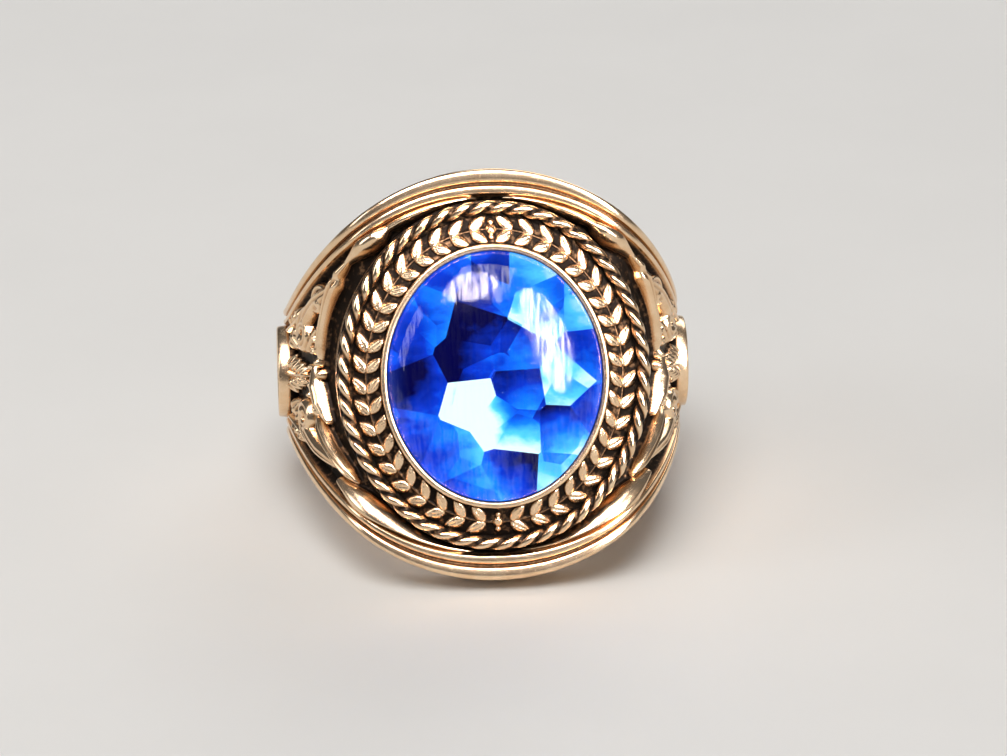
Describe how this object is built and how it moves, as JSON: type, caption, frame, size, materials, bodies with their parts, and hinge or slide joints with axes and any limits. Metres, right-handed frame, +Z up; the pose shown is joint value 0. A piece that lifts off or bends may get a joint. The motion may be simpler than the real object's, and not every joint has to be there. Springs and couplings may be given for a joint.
{
  "type": "class ring",
  "caption": "Man's class ring of yellow gold: oval buff-top blue stone in a bezel, wreath and rope border, scrolled shoulders with round side medallions.",
  "frame": {"origin": "on the floor under the middle of the ring's box, as it lies on its side", "axes": "+Z up, the stone faces -Y and leans up, and the finger axis leans back from +Z towards +Y"},
  "size_m": [0.0242, 0.0278, 0.0222],
  "materials": {
    "antiqued_gold": "polished 10 karat gold with blackened recesses",
    "blue_stone": "smooth polished dome over blue facets"
  },
  "bodies": {
    "root": {"ring_body": "antiqued_gold", "stone": "blue_stone"}
  },
  "joints": []
}
